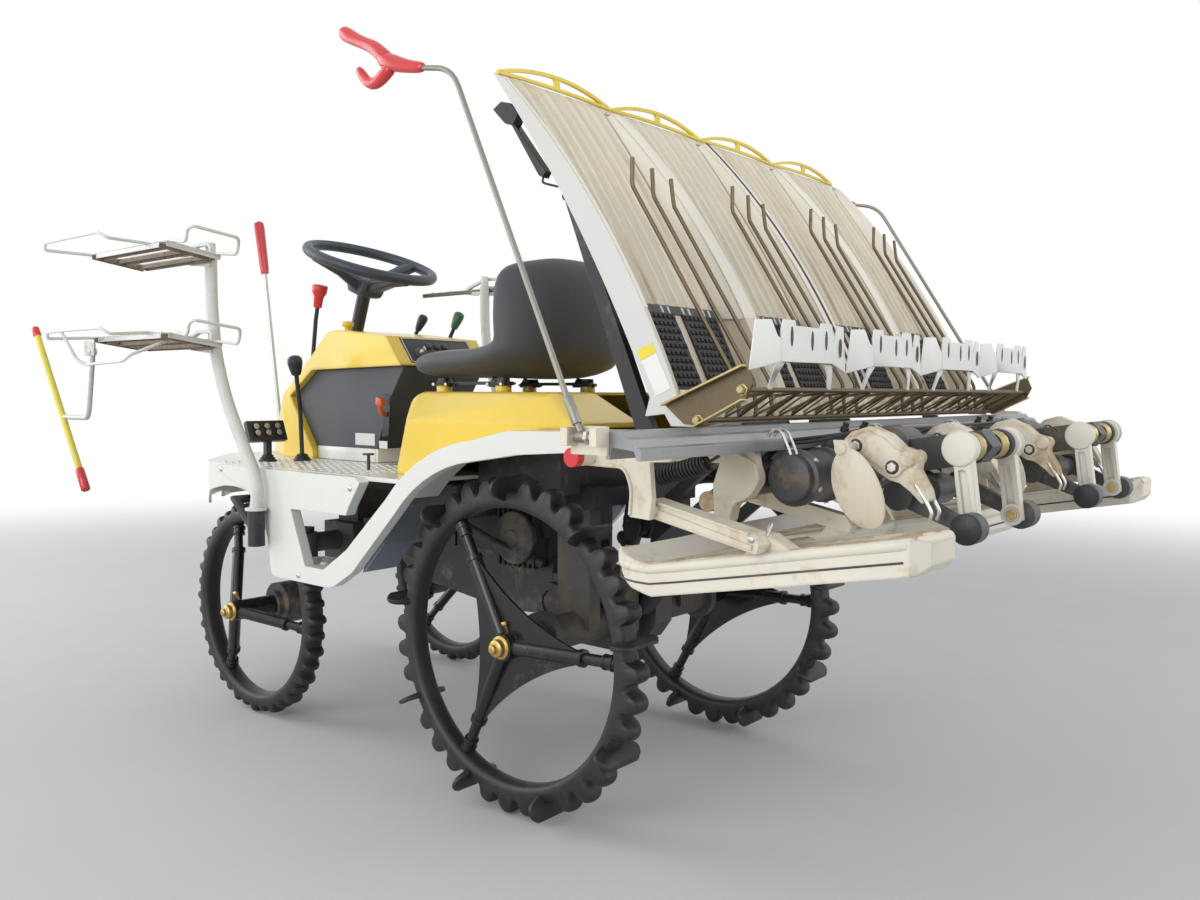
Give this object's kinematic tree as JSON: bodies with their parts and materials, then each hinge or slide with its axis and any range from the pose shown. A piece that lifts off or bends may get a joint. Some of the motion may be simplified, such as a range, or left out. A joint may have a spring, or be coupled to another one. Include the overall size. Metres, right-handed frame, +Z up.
{
  "type": "riding rice transplanter",
  "caption": "Four-row riding rice transplanter with lugged wheels, a raised planting unit on a lift linkage, a sliding seedling tray, floats, racks and folding line markers.",
  "frame": {"origin": "on the ground under the middle of the machine's length and width, wheels resting on the plane z = 0", "axes": "+X forward, +Y to the driver's left, +Z up"},
  "size_m": [2.4778, 1.664, 1.4778],
  "materials": {
    "black_steel": "satin black paint",
    "engine_metal": "grimy dark metal",
    "dark_casting": "dark painted casting with dirt",
    "axle_casting": "dusty casting",
    "white_plastic": "glossy off-white plastic",
    "yellow_plastic": "glossy warm yellow plastic",
    "charcoal_plastic": "grained charcoal plastic",
    "seat_vinyl": "grained charcoal vinyl",
    "knob_plastic": "matt knobs",
    "white_steel": "white paint with rust at the welds",
    "yellow_rod": "yellow sleeve",
    "plated_pole": "plated steel",
    "tyre_rubber": "black rubber with mud",
    "wheel_black": "gloss black paint with scratches",
    "steering_plastic": "blue-black grained plastic",
    "cream_steel": "cream paint with rust stains",
    "rail_aluminium": "extruded aluminium",
    "drive_casting": "dark grey paint",
    "arm_casting": "cream paint worn and rust-stained",
    "white_casting": "off-white paint",
    "float_plastic": "cream moulded plastic with dried mud",
    "tray_plastic": "cream moulded plastic, yellowed",
    "belt_rubber": "studded rubber",
    "guard_yellow": "yellow plastic",
    "plated_rod": "olive plated steel",
    "cover_plastic": "white plastic",
    "red_plastic": "glossy red plastic",
    "marker_steel": "plated rod"
  },
  "bodies": {
    "root": {"chassis_frame": "black_steel", "engine": "engine_metal", "gearbox": "dark_casting", "rear_axle": "axle_casting", "front_axle": "axle_casting", "deck": "white_plastic", "side_panels": "white_plastic", "rear_hood": "yellow_plastic", "bonnet": "yellow_plastic", "console": "charcoal_plastic", "steering_column": "black_steel", "seat": "seat_vinyl", "seat_mount": "black_steel", "control_levers": "black_steel", "lever_knobs": "knob_plastic", "racks": "white_steel", "guide_rods": "yellow_rod", "centre_pole": "plated_pole"},
    "knuckle_left": {"knuckle_left": "dark_casting"},
    "knuckle_right": {"knuckle_right": "dark_casting"},
    "steering_wheel": {"steering_wheel": "steering_plastic"},
    "front_wheel_left": {"front_tyre_left": "tyre_rubber", "front_wheel_left": "wheel_black"},
    "front_wheel_right": {"front_tyre_right": "tyre_rubber", "front_wheel_right": "wheel_black"},
    "rear_wheel_left": {"rear_tyre_left": "tyre_rubber", "rear_wheel_left": "wheel_black"},
    "rear_wheel_right": {"rear_tyre_right": "tyre_rubber", "rear_wheel_right": "wheel_black"},
    "lower_links": {"lower_links": "black_steel"},
    "upper_link": {"upper_link": "black_steel"},
    "lift_barrel": {"lift_barrel": "black_steel"},
    "lift_rod": {"lift_rod": "plated_pole"},
    "planting_unit": {"hitch_frame": "black_steel", "unit_frame": "cream_steel", "beam_caps": "red_plastic", "tray_struts": "black_steel", "guide_rail": "rail_aluminium", "drive_case": "drive_casting", "planting_arms": "arm_casting", "rocker_links": "white_casting", "crank_bars": "drive_casting", "floats": "float_plastic", "float_arms": "cream_steel"},
    "seedling_tray": {"seedling_tray": "tray_plastic", "feed_belts": "belt_rubber", "tray_guards": "guard_yellow", "press_rods": "plated_rod", "row_covers": "cover_plastic"},
    "marker_left": {"marker_left": "marker_steel"},
    "marker_right": {"marker_right": "marker_steel"}
  },
  "joints": [
    {"name": "steer_left", "type": "hinge", "parent": "root", "child": "knuckle_left", "pos_m": [0.695, 0.2, 0.4], "axis": [0, 0, 1], "range_deg": [-38, 38]},
    {"name": "steer_right", "type": "hinge", "parent": "root", "child": "knuckle_right", "pos_m": [0.695, -0.2, 0.4], "axis": [0, 0, 1], "range_deg": [-38, 38]},
    {"name": "steering_wheel_turn", "type": "hinge", "parent": "root", "child": "steering_wheel", "pos_m": [0.654, 0, 1.222], "axis": [-0.342, 0, 0.9397], "range_deg": [-460, 460]},
    {"name": "front_left_spin", "type": "hinge", "parent": "knuckle_left", "child": "front_wheel_left", "pos_m": [0.695, 0.346, 0.282], "axis": [0, 1, 0], "continuous": true},
    {"name": "front_right_spin", "type": "hinge", "parent": "knuckle_right", "child": "front_wheel_right", "pos_m": [0.695, -0.346, 0.282], "axis": [0, 1, 0], "continuous": true},
    {"name": "rear_left_spin", "type": "hinge", "parent": "root", "child": "rear_wheel_left", "pos_m": [-0.283, 0.374, 0.346], "axis": [0, 1, 0], "continuous": true},
    {"name": "rear_right_spin", "type": "hinge", "parent": "root", "child": "rear_wheel_right", "pos_m": [-0.283, -0.374, 0.346], "axis": [0, 1, 0], "continuous": true},
    {"name": "lift", "type": "hinge", "parent": "root", "child": "lower_links", "pos_m": [-0.315, 0, 0.414], "axis": [0, -1, 0], "range_deg": [0, 66]},
    {"name": "upper_link_turn", "type": "hinge", "parent": "root", "child": "upper_link", "pos_m": [-0.315, 0, 0.544], "axis": [0, -1, 0], "range_deg": [0, 67]},
    {"name": "hitch_turn", "type": "hinge", "parent": "lower_links", "child": "planting_unit", "pos_m": [-0.69802, 0, 0.73539], "axis": [0, -1, 0], "range_deg": [-67, 0]},
    {"name": "barrel_turn", "type": "hinge", "parent": "root", "child": "lift_barrel", "pos_m": [-0.3304, 0, 0.3729], "axis": [0, -1, 0], "range_deg": [0, 67.2]},
    {"name": "rod_slide", "type": "slide", "parent": "lift_barrel", "child": "lift_rod", "axis": [-0.6923, 0, 0.7216], "range_m": [-0.0508, 0]},
    {"name": "tray_traverse", "type": "slide", "parent": "planting_unit", "child": "seedling_tray", "axis": [0, 1, 0], "range_m": [-0.125, 0.125]},
    {"name": "marker_left_fold", "type": "hinge", "parent": "planting_unit", "child": "marker_left", "pos_m": [-0.858, 0.82, 0.8], "axis": [-1, 0, 0], "range_deg": [0, 95]},
    {"name": "marker_right_fold", "type": "hinge", "parent": "planting_unit", "child": "marker_right", "pos_m": [-0.858, -0.82, 0.8], "axis": [1, 0, 0], "range_deg": [0, 95]}
  ],
  "couplings": [
    {"joint": "steer_right", "follows": "steer_left", "ratio": 1},
    {"joint": "steering_wheel_turn", "follows": "steer_left", "ratio": 12},
    {"joint": "upper_link_turn", "follows": "lift", "ratio": 1},
    {"joint": "hitch_turn", "follows": "lift", "ratio": -1},
    {"joint": "barrel_turn", "follows": "lift", "ratio": 1.0037},
    {"joint": "rod_slide", "follows": "lift", "m_per_rad": -0.04237}
  ]
}
